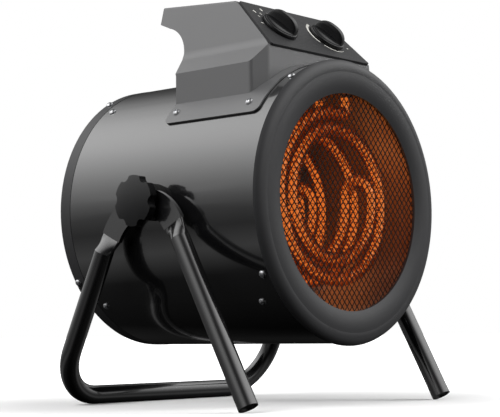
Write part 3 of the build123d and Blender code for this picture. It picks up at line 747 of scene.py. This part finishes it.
def surroundings():
    world = bpy.data.worlds.new("studio")
    bpy.context.scene.world = world
    world.use_nodes = True
    tree = world.node_tree
    background = tree.nodes["Background"]
    direction = tree.nodes.new("ShaderNodeTexCoord").outputs["Generated"]
    split = tree.nodes.new("ShaderNodeSeparateXYZ")
    tree.links.new(direction, split.inputs["Vector"])
    height = tree.nodes.new("ShaderNodeMapRange")
    height.inputs["From Min"].default_value = -1.0
    tree.links.new(split.outputs["Z"], height.inputs["Value"])
    sky = tree.nodes.new("ShaderNodeValToRGB")
    tree.links.new(height.outputs["Result"], sky.inputs["Fac"])
    stops = sky.color_ramp.elements
    while len(stops) < len(sky_levels):
        stops.new(0.5)
    for stop, (rise, level) in zip(stops, sky_levels):
        stop.position = (rise + 1) / 2
        stop.color = (level, level, level, 1.0)
    sideways = tree.nodes.new("ShaderNodeVectorMath")
    sideways.operation = "DOT_PRODUCT"
    sideways.inputs[1].default_value = side_of_light
    tree.links.new(direction, sideways.inputs[0])
    either = tree.nodes.new("ShaderNodeMath")
    either.operation = "ABSOLUTE"
    tree.links.new(sideways.outputs["Value"], either.inputs[0])
    spread = tree.nodes.new("ShaderNodeMapRange")
    spread.interpolation_type = "SMOOTHSTEP"
    spread.inputs["From Min"].default_value = 0.1
    spread.inputs["From Max"].default_value = 0.8
    spread.inputs["To Min"].default_value = dark_side
    spread.inputs["To Max"].default_value = bright_side
    tree.links.new(either.outputs["Value"], spread.inputs["Value"])
    tree.links.new(sky.outputs["Color"], background.inputs["Color"])
    tree.links.new(spread.outputs["Result"], background.inputs["Strength"])
    backdrop = tree.nodes.new("ShaderNodeBackground")
    backdrop.inputs["Color"].default_value = (1.0, 1.0, 1.0, 1.0)
    choose = tree.nodes.new("ShaderNodeMixShader")
    path = tree.nodes.new("ShaderNodeLightPath")
    tree.links.new(path.outputs["Is Camera Ray"], choose.inputs["Fac"])
    tree.links.new(background.outputs["Background"], choose.inputs[1])
    tree.links.new(backdrop.outputs["Background"], choose.inputs[2])
    tree.links.new(choose.outputs["Shader"], tree.nodes["World Output"].inputs["Surface"])


surroundings()


# ---------------------------------------------------------------- lights
glow_power = 0.022
glow_color = (1.0, 0.36, 0.1)
glow_size = 0.03
glow_places = ((0.2, 0.06, 0.03), (0.2, 0.0, -0.065), (0.5, -0.05, 0.06), (0.7, 0.06, -0.04))


def soft_light(name, place, size, power):
    """Square light aimed at the drum, left out of reflections."""
    data = bpy.data.lights.new(name, "AREA")
    data.energy = power
    data.size = size
    light = bpy.data.objects.new(name, data)
    light.location = place
    towards = Vector((0, 0, axis_height)) - Vector(place)
    light.rotation_euler = towards.to_track_quat("-Z", "Y").to_euler()
    bpy.context.scene.collection.objects.link(light)
    light.visible_glossy = False


def element_glow():
    """The elements' own light on the duct round them, from (share of depth, x, z) places."""
    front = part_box("heating_element_front")[0][1]
    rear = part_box("heating_element_rear")[1][1]
    for number, (share, x, z) in enumerate(glow_places):
        data = bpy.data.lights.new(f"element_glow_{number}", "POINT")
        data.energy = glow_power
        data.color = glow_color
        data.shadow_soft_size = glow_size
        light = bpy.data.objects.new(data.name, data)
        light.location = (x, front + (rear - front) * share, axis_height + z)
        bpy.context.scene.collection.objects.link(light)


soft_light("key_left", (-1.75, 0.0, 1.5), 1.3, 30.0)
soft_light("front_fill", (1.6, -1.7, 1.0), 1.0, 50.0)
element_glow()

# ---------------------------------------------------------------- camera
camera_place = Vector((-0.9475, -0.8434, 0.0584))
azimuth = radians(-48.33)
elevation = radians(-4.88)
roll = radians(-0.57)
sensor_width = 36.0
lens = 106.0
back = Vector((sin(azimuth) * cos(elevation), -cos(azimuth) * cos(elevation), sin(elevation)))
right = Vector((cos(azimuth), sin(azimuth), 0))
up = back.cross(right)
tilted_right = right * cos(roll) + up * sin(roll)
tilted_up = up * cos(roll) - right * sin(roll)
data = bpy.data.cameras.new("camera")
data.sensor_fit = "HORIZONTAL"
data.sensor_width = sensor_width
data.lens = lens
camera = bpy.data.objects.new("camera", data)
turn = Matrix((tilted_right, tilted_up, back)).transposed().to_4x4()
camera.matrix_world = Matrix.Translation(camera_place) @ turn
bpy.context.scene.collection.objects.link(camera)
bpy.context.scene.camera = camera

bpy.context.scene.view_settings.view_transform = "Standard"
